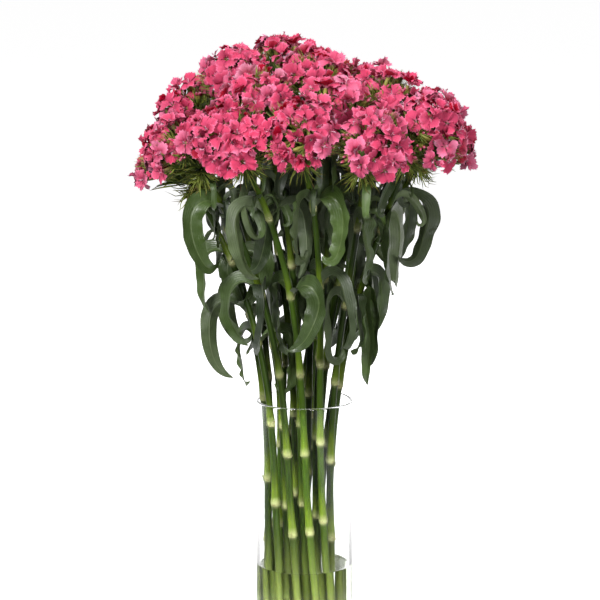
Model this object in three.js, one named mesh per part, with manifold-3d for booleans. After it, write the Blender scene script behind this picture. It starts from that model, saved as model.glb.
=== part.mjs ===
// A bunch of cut sweet william (Dianthus barbatus) standing in water in a clear glass cylinder.
// Millimetres, +Z up, the origin at the centre of the vase's flat base, and the bunch's front towards -Y.
import * as THREE from "three";
import { ConvexHull } from "three/addons/math/ConvexHull.js";
import { mergeVertices } from "three/addons/utils/BufferGeometryUtils.js";
import Module from "manifold-3d";

const wasm = await Module();
wasm.setup();

// ---- driving dimensions ----------------------------------------------------------------------
const gap = 0.3; // between pieces that rest on each other
const weld = 0.03; // corners nearer than this are drawn together

const vase = { radius: 50, wall: 3, height: 300, floor: 8, chamfer: 1.2, sides: 32 };
const waterLevel = 125;

// The middle of every head of bloom, in three rings under one dome that is highest a little to the left.
const heads = {
  inner: [[-66, 14, 621], [-18, 42, 628], [12, -24, 624]],
  middle: [
    [-44, -80, 606],
    [30, -88, 602],
    [80, -42, 602],
    [62, 30, 601],
    [40, 92, 594],
    [-46, 88, 596],
    [-105, 32, 588],
  ],
  outer: [
    [-4, -138, 584],
    [64, -132, 573],
    [114, -88, 578],
    [129, -24, 566],
    [121, 42, 573],
    [94, 102, 564],
    [16, 142, 556],
    [-60, 134, 556],
    [-112, 84, 552],
    [-127, -16, 542],
    [-116, -76, 565],
    [-68, -128, 578],
  ],
};
const headRadius = 42;
const domeTilt = 0.3; // degrees that a head leans outwards for each millimetre from the middle
const coreShare = 0.5; // core radius as a share of the head's
const floret = {
  spacing: 28.5,
  apart: 0.8, // share of the spacing that the first draw keeps
  lobes: 5,
  notch: 0.42,
  dish: 4.2,
  notchDrop: 1.6,
  limit: 72, // degrees from the head's axis
  margin: 8, // from the next head's space
};
const bract = { count: 5, radius: 1.1, length: 27 };
const cupRadius = 6.4;

const stem = {
  footRadius: 4.1,
  topRadius: 2.8,
  sides: 5,
  waistHeight: 200, // where the bunch is narrowest
  waist: { inner: 8, middle: 20, outer: 33 },
  footSpread: 1.06, // the feet stand this much wider than the waist
  flare: 2.35, // how late the stems bend outwards
  shift: -5.5, // of the waist and the feet, along X
  twist: -76, // degrees that the bunch turns from foot to head
};
const joint = { belowHead: 40, scatter: 42, spacing: 84, swell: 1.32, sheath: 6, lowest: 148 };

const leaf = {
  length: 116,
  lengthScatter: 21,
  halfWidth: 12.6,
  widthScatter: 1.6,
  thickness: 1.3,
  lowest: 345, // no leaf grows below this height: the foot of each stem is stripped
  pairs: 2, // on each stem
  aside: 66, // degrees from the stem's own azimuth to its lowest leaf
  rise: 36, // degrees from upright where the leaf leaves its joint
  turnEnd: 0.48, // share of the length by which it has arched over
  steps: 24, // of the curve
  rings: 6,
  clear: 0.7, // free space kept round every leaf
  seed: 2542,
};

// ---- materials -------------------------------------------------------------------------------
const finish = (colour, roughness, extra = {}) =>
  new THREE.MeshStandardMaterial({ color: colour, roughness, metalness: 0, ...extra });
const glass = finish(0xf1f7f5, 0.04, { transparent: true, opacity: 0.25 });
const water = finish(0xe4efe6, 0.03, { transparent: true, opacity: 0.4 });
const foliage = finish(0x35562b, 0.55);
const petal = finish(0xe0527f, 0.6);

// ---- helpers ---------------------------------------------------------------------------------
const up = new THREE.Vector3(0, 0, 1);
const radians = THREE.MathUtils.degToRad;
const smooth = (low, high, x) => THREE.MathUtils.smoothstep(x, low, high);

// Even draws from 0 to 1 that are the same on every run.
function drawsFrom(seed) {
  let state = seed >>> 0;
  return () => {
    state = (Math.imul(state, 1664525) + 1013904223) >>> 0;
    return state / 4294967296;
  };
}

function polar(radius, degrees, height) {
  const angle = radians(degrees);
  return new THREE.Vector3(radius * Math.cos(angle), radius * Math.sin(angle), height);
}

function solidOf(geometry) {
  const bare = geometry.clone();
  bare.deleteAttribute("normal");
  bare.deleteAttribute("uv");
  const merged = mergeVertices(bare, 1e-4);
  return new wasm.Manifold(
    new wasm.Mesh({
      numProp: 3,
      vertProperties: merged.getAttribute("position").array,
      triVerts: new Uint32Array(merged.index.array),
    }),
  );
}

function meshOf(name, solid, material) {
  const mesh = largestBody(solid.asOriginal().simplify(weld)).getMesh();
  const geometry = new THREE.BufferGeometry();
  geometry.setAttribute("position", new THREE.BufferAttribute(mesh.vertProperties, 3));
  geometry.setIndex(new THREE.BufferAttribute(mesh.triVerts, 1));
  geometry.computeVertexNormals();
  const piece = new THREE.Mesh(geometry, material);
  piece.name = name;
  return piece;
}

// Fills what hollows the union closed off and drops loose scraps.
function largestBody(solid) {
  return solid.decompose().reduce((a, b) => (a.volume() > b.volume() ? a : b));
}

// Bends a plain cylinder, or a cone, so that each of its rows lies on one ring, the first ring lowest.
// A ring's place(x, z) takes a point of the unit circle.
function bentCylinder(sides, places, pointed = false) {
  const rows = places.length - 1;
  const geometry = new THREE.CylinderGeometry(pointed ? 0 : 1, 1, rows, sides, rows);
  const position = geometry.getAttribute("position");
  for (let i = 0; i < position.count; i++) {
    const row = Math.round(position.getY(i) + rows / 2);
    const point = places[row](position.getX(i), position.getZ(i));
    position.setXYZ(i, point.x, point.y, point.z);
  }
  return geometry;
}

// ---- the bunch: where each head stands and how its stem runs ------------------------------------
const footHeight = vase.floor + gap;
const turnOf = (point) => THREE.MathUtils.radToDeg(Math.atan2(point.y, point.x));

function layOut() {
  const bunch = [];
  for (const [ring, places] of Object.entries(heads)) {
    const centres = places.map((place) => new THREE.Vector3(...place));
    const order = centres.map((centre) => turnOf(centre)).sort((a, b) => a - b);
    const start = order.reduce((sum, turn, k) => sum + turn - (360 * k) / order.length, 0) / order.length;
    for (const centre of centres) {
      const number = bunch.length + 1;
      const draw = drawsFrom(number * 7919);
      const leafDraw = drawsFrom(number * leaf.seed);
      draw();
      leafDraw();
      const azimuth = turnOf(centre);
      // At the waist the stems of a ring stand evenly, in the order of their heads.
      const waistAzimuth = start + (360 * order.indexOf(azimuth)) / order.length;
      const lean = domeTilt * Math.hypot(centre.x, centre.y);
      const axis = polar(Math.sin(radians(lean)), azimuth, Math.cos(radians(lean)));
      const seat = headRadius * coreShare + gap;
      const top = centre.clone().addScaledVector(axis, -seat);
      bunch.push({ number, ring, azimuth, waistAzimuth, centre, axis, draw, leafDraw, top });
    }
  }
  for (const one of bunch) one.joints = jointHeights(one);
  return bunch;
}

// The joints, from the foot up.
function jointHeights(one) {
  const heights = [];
  let height = one.top.z - joint.belowHead - one.draw() * joint.scatter;
  for (; height > joint.lowest; height -= joint.spacing) heights.unshift(height);
  return heights;
}

// The stem's centre line: drawn together at the waist, then bending out and turning to its head.
function stemPoint(one, height) {
  const rise = Math.max(0, (height - stem.waistHeight) / (one.top.z - stem.waistHeight));
  const sink = Math.max(0, (stem.waistHeight - height) / (stem.waistHeight - footHeight));
  const waist = stem.waist[one.ring] * (1 + (stem.footSpread - 1) * sink);
  const topRadius = Math.hypot(one.top.x, one.top.y);
  const radius = waist + (topRadius - waist) * rise ** stem.flare;
  const swing = (turnOf(one.top) - one.waistAzimuth + 540) % 360 - 180;
  const turn = one.waistAzimuth + swing * rise - stem.twist * (1 - height / one.top.z);
  return polar(radius, turn, height).setX(radius * Math.cos(radians(turn)) + stem.shift * (1 - rise));
}

function stemRadius(one, height) {
  const share = (height - footHeight) / (one.top.z - footHeight);
  return THREE.MathUtils.lerp(stem.footRadius, stem.topRadius, share);
}

function stemHeading(one, height) {
  const step = 1;
  return stemPoint(one, height).sub(stemPoint(one, height - step)).normalize();
}

// A flat ring square to a heading.
function ringPlace(centre, heading, radius) {
  const side = new THREE.Vector3(0, 1, 0).cross(heading).normalize();
  const face = side.clone().cross(heading);
  return (x, z) => centre.clone().addScaledVector(side, x * radius).addScaledVector(face, z * radius);
}

function stemPlaces(one) {
  const places = [ringPlace(stemPoint(one, footHeight), up, stem.footRadius)];
  const add = (height, share) => {
    const radius = stemRadius(one, height) * share;
    places.push(ringPlace(stemPoint(one, height), stemHeading(one, height), radius));
  };
  for (const height of one.joints) {
    add(height - joint.sheath, 0.94);
    add(height, joint.swell);
  }
  const neck = one.top.clone().addScaledVector(one.axis, -10);
  places.push(ringPlace(neck, one.axis, stem.topRadius));
  places.push(ringPlace(one.top, one.axis, cupRadius));
  return places;
}

const stemSolid = (one) => solidOf(bentCylinder(stem.sides, stemPlaces(one)));

// ---- leaves ----------------------------------------------------------------------------------
// A leaf rises from its joint, arches over, hangs and bends back in, and its tip curls.
function leafCurve(root, shape) {
  const points = [];
  const point = root.clone();
  const stepLength = shape.length / leaf.steps;
  for (let i = 0; i <= leaf.steps; i++) {
    const t = i / leaf.steps;
    const arch = (shape.hang - leaf.rise) * smooth(0, leaf.turnEnd, t);
    const lean = radians(leaf.rise + arch + shape.bend * t ** 2 + shape.curl * smooth(0.72, 1, t) ** 1.5);
    const out = polar(1, shape.azimuth + shape.sway * t, 0);
    const heading = out.clone().multiplyScalar(Math.sin(lean)).addScaledVector(up, Math.cos(lean));
    const face = out.clone().multiplyScalar(-Math.cos(lean)).addScaledVector(up, Math.sin(lean));
    const side = heading.clone().cross(face);
    const roll = radians(shape.roll * smooth(0, 0.45, t));
    const turned = side.clone().multiplyScalar(Math.cos(roll)).addScaledVector(face, Math.sin(roll));
    const top = face.multiplyScalar(Math.cos(roll)).addScaledVector(side, -Math.sin(roll));
    points.push({ t, centre: point.clone(), side: turned, face: top });
    point.addScaledVector(heading, stepLength);
  }
  return points;
}

const leafWidth = (t) => (0.25 + 0.75 * smooth(0, 0.28, t)) * (1 - t ** 4.2) ** 0.78;
const leafFold = (t) => 0.22 * (1 - 0.6 * t);

// The blade is a thin folded lens. Its two faces are split along the same lines, so that no bend
// pushes one through the other.
function leafSolid(root, shape) {
  const curve = leafCurve(root, shape);
  const tip = curve[leaf.steps].centre;
  const rings = Array.from({ length: leaf.rings }, (_, ring) => {
    const { t, centre, side, face } = curve[Math.round((ring * leaf.steps) / leaf.rings)];
    const half = shape.halfWidth * leafWidth(t);
    const thick = (leaf.thickness / 2) * (1 - 0.4 * t);
    const crest = centre.clone().addScaledVector(face, thick);
    const keel = centre.clone().addScaledVector(face, -thick);
    const [left, right] = [-half, half].map((across) =>
      centre.clone().addScaledVector(side, across).addScaledVector(face, half * leafFold(t)),
    );
    return { left, crest, right, keel };
  });
  const foot = rings[0];
  const corners = [foot.right, foot.crest, foot.left, foot.left, foot.keel, foot.right];
  rings.forEach((low, ring) => {
    const high = rings[ring + 1];
    if (!high) {
      corners.push(low.crest, low.right, tip, low.keel, tip, low.right);
      corners.push(low.crest, tip, low.left, low.keel, low.left, tip);
      return;
    }
    corners.push(low.crest, low.right, high.right, low.crest, high.right, high.crest);
    corners.push(low.keel, high.right, low.right, low.keel, high.keel, high.right);
    corners.push(low.crest, high.left, low.left, low.crest, high.crest, high.left);
    corners.push(low.keel, low.left, high.left, low.keel, high.left, high.keel);
  });
  return solidOf(new THREE.BufferGeometry().setFromPoints(corners));
}

// The leaves grow in crossed pairs. A leaf that would touch another piece is turned, then shortened.
const leafTurns = [0, 24, -24, 48, -48, 72, -72, 96, -96];
const leafLengths = [1, 0.84, 0.7];

function leafShape(one, level, half, draw) {
  const scatter = (size) => (draw() * 2 - 1) * size;
  return {
    azimuth: one.azimuth + leaf.aside + level * 90 + half * 180 + scatter(20),
    length: leaf.length + scatter(leaf.lengthScatter),
    halfWidth: leaf.halfWidth + scatter(leaf.widthScatter),
    hang: 165 + scatter(14),
    bend: 35 + draw() * 60,
    curl: draw() < 0.55 ? 60 + draw() * 86 : draw() * 25,
    sway: scatter(38),
    roll: (draw() < 0.5 ? -1 : 1) * (45 + 55 * draw()),
  };
}

const isFar = (a, b) =>
  [0, 1, 2].some((k) => a.min[k] > b.max[k] + leaf.clear || b.min[k] > a.max[k] + leaf.clear);

function isClear(solid, others) {
  const box = solid.boundingBox();
  return others.every(
    (other) => isFar(box, other.box) || solid.minGap(other.solid, leaf.clear) >= leaf.clear,
  );
}

function growLeaves(one, placed) {
  const grown = [];
  const others = placed.filter((other) => other.owner !== one);
  const leafy = one.joints.filter((height) => height > leaf.lowest).slice(-leaf.pairs);
  leafy.forEach((height, level) => {
    for (const half of [0, 1]) {
      const shape = leafShape(one, level, half, one.leafDraw);
      const root = stemPoint(one, height);
      for (const share of leafLengths) {
        const found = leafTurns
          .map((turn) => ({ ...shape, azimuth: shape.azimuth + turn, length: shape.length * share }))
          .map((bent) => leafSolid(root, bent))
          .find((solid) => isClear(solid, others));
        if (found) {
          grown.push(found);
          break;
        }
      }
    }
  });
  return grown;
}

// ---- heads of bloom ----------------------------------------------------------------------------
// The florets are spread evenly over the dome. Each keeps to the space nearest its own head.
const pointOf = (spot) => spot.one.centre.clone().addScaledVector(spot.heading, headRadius);

// How far a point lies inside its head's space.
function roomAt(one, point) {
  return Math.min(
    ...bunch
      .filter((other) => other !== one)
      .map((other) => {
        const across = other.centre.clone().sub(one.centre);
        const middle = other.centre.clone().add(one.centre).multiplyScalar(0.5);
        return middle.sub(point).dot(across.normalize());
      }),
  );
}

const fits = (spot) =>
  spot.heading.angleTo(spot.one.axis) < radians(floret.limit) &&
  roomAt(spot.one, pointOf(spot)) > floret.margin;

function spreadFlorets() {
  const draw = drawsFrom(4242);
  const spots = [];
  for (let i = 0; i < 22000; i++) {
    const one = bunch[Math.floor(draw() * bunch.length)];
    const height = draw() * 2 - 1;
    const heading = polar(Math.sqrt(1 - height * height), draw() * 360, height);
    const spot = { one, heading };
    if (!fits(spot)) continue;
    const point = pointOf(spot);
    const near = spots.some((other) => pointOf(other).distanceTo(point) < floret.spacing * floret.apart);
    if (!near) spots.push(spot);
  }
  for (let round = 0; round < 40; round++) relax(spots);
  return spots;
}

// Florets that crowd each other are moved apart.
function relax(spots) {
  const points = spots.map(pointOf);
  spots.forEach((spot, i) => {
    const push = new THREE.Vector3();
    points.forEach((point, k) => {
      const away = points[i].clone().sub(point);
      const distance = away.length();
      if (k === i || distance > floret.spacing) return;
      push.addScaledVector(away, (floret.spacing / distance - 1) * 0.3);
    });
    const heading = points[i].clone().add(push).sub(spot.one.centre).normalize();
    const moved = { one: spot.one, heading };
    if (fits(moved)) spot.heading = heading;
  });
}

// A floret is as wide as its neighbours and its own head's space leave it.
function sizeFlorets(spots) {
  const points = spots.map(pointOf);
  spots.forEach((spot, i) => {
    const nearest = Math.min(...points.filter((_, k) => k !== i).map((point) => point.distanceTo(points[i])));
    const most = floret.spacing / 2;
    spot.radius = Math.min(most, nearest / 2, roomAt(spot.one, points[i]) * 1.25 - gap);
  });
}

function headSolid(one) {
  const own = spots.filter((spot) => spot.one === one);
  const points = [];
  own.forEach((spot) => points.push(...floretNeck(spot)));
  // The seat at the head's foot is a small flat triangle.
  const side = new THREE.Vector3(0, 1, 0).cross(one.axis).normalize();
  const seatRing = ringPlace(new THREE.Vector3(), one.axis, cupRadius);
  const seatDrop = one.axis.clone().multiplyScalar(-headRadius * coreShare);
  const seat = [0, 120, 240].map((degrees) =>
    seatRing(Math.cos(radians(degrees)), Math.sin(radians(degrees))).add(seatDrop),
  );
  points.push(...seat);
  const hull = new ConvexHull().setFromPoints(points);
  const triangles = [];
  for (const face of hull.faces) {
    const corners = [];
    let edge = face.edge;
    do {
      corners.push(edge.head().point);
      edge = edge.next;
    } while (edge !== face.edge);
    const owner = own.find((spot) => corners.every((corner) => spot.neck.includes(corner)));
    if (owner) triangles.push(...floretFaces(owner));
    else triangles.push(corners);
  }
  const flat = triangles.flat().map((point) => point.clone().add(one.centre));
  return solidOf(new THREE.BufferGeometry().setFromPoints(flat));
}

// A point round a floret's own axis.
function floretPoint(spot, degrees, radius, height) {
  const across = spot.one.axis.clone().cross(spot.heading);
  if (across.length() < 0.05) across.set(1, 0, 0).projectOnPlane(spot.heading);
  across.normalize();
  const along = spot.heading.clone().cross(across);
  return spot.heading
    .clone()
    .multiplyScalar(height)
    .addScaledVector(across, radius * Math.cos(radians(degrees)))
    .addScaledVector(along, radius * Math.sin(radians(degrees)));
}

function floretNeck(spot) {
  const neckRadius = 3.4;
  spot.start = spot.one.draw() * 120;
  spot.neck = [0, 120, 240].map((turn) =>
    floretPoint(spot, spot.start + turn, neckRadius, headRadius * coreShare),
  );
  return spot.neck;
}

function floretFaces(spot) {
  const { neck, radius } = spot;
  const height = headRadius - spot.one.draw() * 3;
  // Each petal has two outer corners, and a notch parts it from the next.
  const rim = [];
  const lobe = 360 / floret.lobes;
  for (let k = 0; k < floret.lobes; k++) {
    const turn = spot.start + lobe * k - 60;
    rim.push(floretPoint(spot, turn, radius * floret.notch, height - floret.notchDrop));
    rim.push(floretPoint(spot, turn + lobe * 0.22, radius, height));
    rim.push(floretPoint(spot, turn + lobe * 0.78, radius, height));
  }
  const eye = floretPoint(spot, 0, 0, height - floret.dish);
  const faces = [];
  const share = rim.length / neck.length;
  for (let i = 0; i < rim.length; i++) {
    const next = rim[(i + 1) % rim.length];
    const root = neck[Math.floor(i / share)];
    faces.push([eye, rim[i], next]);
    faces.push([next, rim[i], root]);
    if ((i + 1) % share === 0) faces.push([root, neck[((i + 1) / share) % neck.length], next]);
  }
  return faces;
}

// The awl-shaped bracts that spread below a head.
function bractSolids(one) {
  const side = new THREE.Vector3(0, 1, 0).cross(one.axis).normalize();
  const forward = one.axis.clone().cross(side);
  const root = one.top.clone().addScaledVector(one.axis, -3);
  return Array.from({ length: bract.count }, (_, k) => {
    const turn = radians((360 * (k + 0.6 * one.draw())) / bract.count);
    const lean = radians(82 + 36 * one.draw());
    const out = side.clone().multiplyScalar(Math.cos(turn)).addScaledVector(forward, Math.sin(turn));
    const heading = out.clone().multiplyScalar(Math.sin(lean)).addScaledVector(one.axis, Math.cos(lean));
    const tip = root.clone().addScaledVector(heading, bract.length);
    const places = [ringPlace(root, heading, bract.radius), () => tip.clone()];
    return solidOf(bentCylinder(3, places, true));
  });
}

// ---- vase and water ------------------------------------------------------------------------------
function lathe(profile) {
  const geometry = new THREE.LatheGeometry(
    profile.map(([x, y]) => new THREE.Vector2(x, y)),
    vase.sides,
  );
  return geometry.rotateX(Math.PI / 2);
}

function vaseSolid() {
  const inner = vase.radius - vase.wall;
  const { radius, height, floor, chamfer } = vase;
  return solidOf(
    lathe([
      [0, 0],
      [radius - chamfer, 0],
      [radius, chamfer],
      [radius, height - chamfer],
      [radius - chamfer, height],
      [inner + chamfer, height],
      [inner, height - chamfer],
      [inner, floor],
      [0, floor],
    ]),
  );
}

function waterSolid(bunch) {
  const radius = vase.radius - vase.wall - gap;
  let body = solidOf(
    lathe([
      [0, footHeight],
      [radius, footHeight],
      [radius, waterLevel],
      [0, waterLevel],
    ]),
  );
  for (const one of bunch) body = body.subtract(stemHole(one));
  return body;
}

// A plain hole that follows the stem's lowest stretch, one gap wider all round.
function stemHole(one) {
  const [foot, next] = stemPlaces(one).map((place) => place(0, 0));
  const wide = stem.footRadius + gap / Math.cos(Math.PI / stem.sides);
  const places = [footHeight - 1, waterLevel + 1].map((height) => {
    const share = (height - foot.z) / (next.z - foot.z);
    return ringPlace(foot.clone().lerp(next, share), up, wide);
  });
  return solidOf(bentCylinder(stem.sides, places));
}

// ---- assembly -----------------------------------------------------------------------------------
const bunch = layOut();
const stems = bunch.map(stemSolid);
const spots = spreadFlorets();
sizeFlorets(spots);
const blooms = bunch.map(headSolid);
const vaseBody = vaseSolid();
const placed = [{ solid: vaseBody, box: vaseBody.boundingBox() }];
bunch.forEach((one, i) => {
  one.bracts = bractSolids(one);
  const parts = [stems[i], blooms[i], ...one.bracts];
  placed.push(...parts.map((solid) => ({ owner: one, solid, box: solid.boundingBox() })));
});
for (const one of [...bunch].reverse()) {
  one.leaves = growLeaves(one, placed);
  placed.push(...one.leaves.map((solid) => ({ owner: one, solid, box: solid.boundingBox() })));
}

const group = new THREE.Group();
group.add(meshOf("vase", vaseBody, glass));
group.add(meshOf("water", waterSolid(bunch), water));
bunch.forEach((one, i) => {
  const label = String(one.number).padStart(2, "0");
  const green = wasm.Manifold.union([stems[i], ...one.bracts, ...one.leaves]);
  group.add(meshOf(`leafy_stem_${label}`, green, foliage));
  group.add(meshOf(`flower_head_${label}`, blooms[i], petal));
});

export default group;
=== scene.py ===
import math

import bpy
import numpy as np
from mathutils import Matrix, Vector


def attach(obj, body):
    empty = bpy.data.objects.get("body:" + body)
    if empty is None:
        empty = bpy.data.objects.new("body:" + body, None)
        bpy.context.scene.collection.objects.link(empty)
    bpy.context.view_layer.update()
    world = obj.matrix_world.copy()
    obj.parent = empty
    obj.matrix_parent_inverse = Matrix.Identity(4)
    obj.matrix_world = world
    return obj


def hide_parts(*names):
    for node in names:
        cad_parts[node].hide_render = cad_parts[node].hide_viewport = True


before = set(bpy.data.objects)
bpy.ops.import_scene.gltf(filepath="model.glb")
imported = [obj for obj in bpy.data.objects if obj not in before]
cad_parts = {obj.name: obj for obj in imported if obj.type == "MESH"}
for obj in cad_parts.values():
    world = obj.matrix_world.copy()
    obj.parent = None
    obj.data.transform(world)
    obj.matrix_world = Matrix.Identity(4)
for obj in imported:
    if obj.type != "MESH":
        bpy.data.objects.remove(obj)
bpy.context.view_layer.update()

mm = 0.001
FULL_TURN = 2 * math.pi
UP = Vector((0, 0, 1))

# ---- camera ----
CAMERA_PLACE = (-0.0047, -2.934, 0.924)
CAMERA_DIP = 10.05  # degrees below level
CAMERA_LENS = 174.06  # millimetres
CAMERA_SENSOR = 36  # millimetres across
CAMERA_REACH = 60


def join_scene(name, data):
    made = bpy.data.objects.new(name, data)
    bpy.context.collection.objects.link(made)
    return made


def stand_camera():
    camera = bpy.data.cameras.new("camera")
    camera.sensor_width = CAMERA_SENSOR
    camera.lens = CAMERA_LENS
    camera.clip_end = CAMERA_REACH
    holder = join_scene("camera", camera)
    holder.location = CAMERA_PLACE
    holder.rotation_euler = (math.radians(90 - CAMERA_DIP), 0, 0)
    bpy.context.scene.camera = holder


stand_camera()

# ---- the bunch's own sizes ----
VASE_RADIUS = 50 * mm
VASE_WALL = 3 * mm
VASE_FLOOR = 8 * mm
VASE_HEIGHT = 300 * mm
VASE_EDGE = 1.2 * mm  # radius of the foot's edge
LATHE_SIDES = 128
CRISP_RUN = 0.25 * mm  # from a corner to the point that keeps it crisp
FLOOR_FILLET = 3 * mm  # inside, between wall and floor
WATER_LEVEL = 125 * mm
WATER_CREEP = 1.3 * mm  # up the wall
CREEP_FADE = 1.7 * mm
GAP = 0.3 * mm
FOOT_HEIGHT = VASE_FLOOR + GAP

# The middle of every head of bloom, in millimetres, ring by ring.
HEADS = {
    "inner": [(-66, 14, 621), (-18, 42, 628), (12, -24, 624)],
    "middle": [
        (-44, -80, 606), (30, -88, 602), (80, -42, 602), (62, 30, 601),
        (40, 92, 594), (-46, 88, 596), (-105, 32, 588),
    ],
    "outer": [
        (-4, -138, 584), (64, -132, 573), (114, -88, 578), (129, -24, 566),
        (121, 42, 573), (94, 102, 564), (16, 142, 556), (-60, 134, 556),
        (-112, 84, 552), (-127, -16, 542), (-116, -76, 565), (-68, -128, 578),
    ],
}
HEAD_RADIUS = 42 * mm
DOME_TILT = 0.3  # degrees that a head leans outwards for each millimetre from the middle
SEAT = 21.3 * mm  # from a head's middle down to its stem's top

STEM_FOOT = 4.1 * mm
STEM_TOP = 2.8 * mm
STEM_SIDES = 16
STEM_STEP = 11 * mm
STEM_NECK = 8 * mm  # from the last ring to the stem's top
WAIST_HEIGHT = 200 * mm
WAIST = {"inner": 8 * mm, "middle": 20 * mm, "outer": 33 * mm}
FOOT_SPREAD = 0.06
FLARE = 2.35  # how late the stems bend outwards
WAIST_SHIFT = -5.5 * mm
TWIST = -76  # degrees that the bunch turns from foot to head
JOINT_BELOW_HEAD = 40 * mm
JOINT_SCATTER = 42 * mm
JOINT_SPACING = 84 * mm
JOINT_LOWEST = 148 * mm
JOINT_SEED = 7919
# Radius, as a share of the plain stem's, at a height above each joint in millimetres.
JOINT_PROFILE = [
    (-8, 0.98), (-4.5, 1.02), (-2.2, 1.13), (0, 1.29), (2, 1.33),
    (4.5, 1.26), (9, 1.14), (16, 1.05), (26, 1.0),
]
PALEST_BAND = 0.9
PALE_FOOT = (70 * mm, 180 * mm)  # heights between which a stem changes from pale to green
SHEATHED = 0.7  # share of the leaf scars that keep a torn sheath
SHEATH_GRID = (5, 7)  # rows and columns
GROWTH_SEED = 3571

LEAF_LENGTH = 116 * mm
LEAF_LENGTH_SCATTER = 21 * mm
LEAF_HALF_WIDTH = 10.8 * mm
LEAF_WIDTH_SCATTER = 1.6 * mm
LEAF_LOWEST = 345 * mm
LEAF_PAIRS = 2
LEAF_RISE = 36  # degrees from upright where the leaf leaves its joint
LEAF_ASIDE = 66  # degrees from the stem's own azimuth to its lowest leaf
LEAF_SEED = 2542
LEAF_TURN_END = 0.48  # share of the length by which it has arched over
LEAF_STEPS = 24
LEAF_TURNS = [0, 24, -24, 48, -48, 72, -72, 96, -96]
LEAF_LENGTHS = [1, 0.84, 0.7]
LEAF_CREST = 0.52 * mm  # of the plain solid's leaf, half way along
LEAF_MATCH = 0.4 * mm  # how near a corner of the part a leaf's tip or crest has to be
LEAF_SHEET = 0.5 * mm
LEAF_MARGIN = 0.04 * mm
RIB_DEPTH = 0.8 * mm
RIB_GROOVE = 0.35 * mm
LEAF_ACROSS = np.array([-1, -0.76, -0.42, -0.13, 0, 0.13, 0.42, 0.76, 1])
YOUNG_LEAVES = 5  # on each stem
YOUNG_ACROSS = np.array([-1, -0.45, 0, 0.45, 1])

FLORET_SPACING = 15.2 * mm
FLORET_LIMIT = 74  # degrees from the head's axis
FLORET_MARGIN = 3.2 * mm  # from the next head's space
FLORET_SEED = 417
FLORET_TRIES = 16000
FIRST_SPACING = 0.78  # share of the spacing that the first draw keeps
SPREADING_ROUNDS = 30
PUSH = 0.3  # share of the missing distance that each round makes up
FLORET_SUNK = 12  # millimetres that the deepest floret lies below the topmost
FLORET_PROUD = 1  # millimetres that the topmost stands above the dome
FLORET_TILT = 0.36  # scatter of the direction that a floret faces
PETALS = 5
PETAL_LENGTH = 14.3 * mm
PETAL_SPREAD = 42  # degrees to either side of the petal's middle
PETAL_ROWS = np.linspace(0, 1, 6) ** 0.85
PETAL_COLUMNS = np.linspace(-1, 1, 13)
OPENNESS = [0, 14, 34, 58]  # degrees that the petals stand above flat
OPENNESS_SHARES = [0.32, 0.3, 0.24, 0.14]
STAMENS_EACH = 4
CALYX_BELOW = 15 * mm
CALYX_BRACTS = 3
HEAD_EDGE = 9 * mm  # from the next head's space
TUFT_CHANCE_AT_EDGE, TUFT_CHANCE = 0.46, 0.08
TUFT_BELOW = 17 * mm
TUFT_NEEDLES = 40
TUFT_BUDS = 3
CORE_RADIUS, CORE_FOOT = 21 * mm, 12 * mm
CORE_GRID = (9, 22)  # rows and columns
CORE_REACH = 165  # degrees from the head's axis
COLLAR_NEEDLES = 130
UNDERGROWTH = 150  # needles among the stalklets of a head
HEAD_SEED = 9100


# ---- plain helpers ----
def draws_from(seed):
    """Even draws from 0 to 1 that are the same on every run."""
    state = seed
    multiplier, increment, modulus = 1664525, 1013904223, 4294967296

    def draw():
        nonlocal state
        state = (state * multiplier + increment) % modulus
        return state / modulus

    return draw


def polar(radius, degrees, height):
    angle = math.radians(degrees)
    return Vector((radius * math.cos(angle), radius * math.sin(angle), height))


def turn_of(point):
    return math.degrees(math.atan2(point.y, point.x))


def lerp(low, high, share):
    return low + (high - low) * share


def smooth(low, high, x):
    share = np.clip((x - low) / (high - low), 0, 1)
    return share * share * (3 - 2 * share)


def unit(vectors):
    vectors = np.asarray(vectors, float)
    return vectors / np.linalg.norm(vectors, axis=-1, keepdims=True)


def square_to(heading):
    """Two directions square to a heading and to each other."""
    heading = np.asarray(heading, float)
    side = np.cross((0, 1, 0), heading)
    if np.linalg.norm(side) < 0.05:
        side = np.cross((1, 0, 0), heading)
    side = side / np.linalg.norm(side)
    return side, np.cross(heading, side)


def outward(side, face, turn):
    """The direction at a turn round the heading that side and face are square to."""
    return side * math.cos(turn) + face * math.sin(turn)


def grid_faces(rows, columns, turned=False):
    """The quads of a sheet of points, row by row."""
    faces = []
    for row in range(rows - 1):
        for column in range(columns - 1):
            a = row * columns + column
            quad = (a, a + 1, a + columns + 1, a + columns)
            faces.append(quad[::-1] if turned else quad)
    return faces


def tube_faces(rings, sides):
    faces = []
    for ring in range(rings - 1):
        for side in range(sides):
            after = (side + 1) % sides
            low, high = ring * sides, (ring + 1) * sides
            faces.append((low + side, low + after, high + after, high + side))
    return faces


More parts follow.
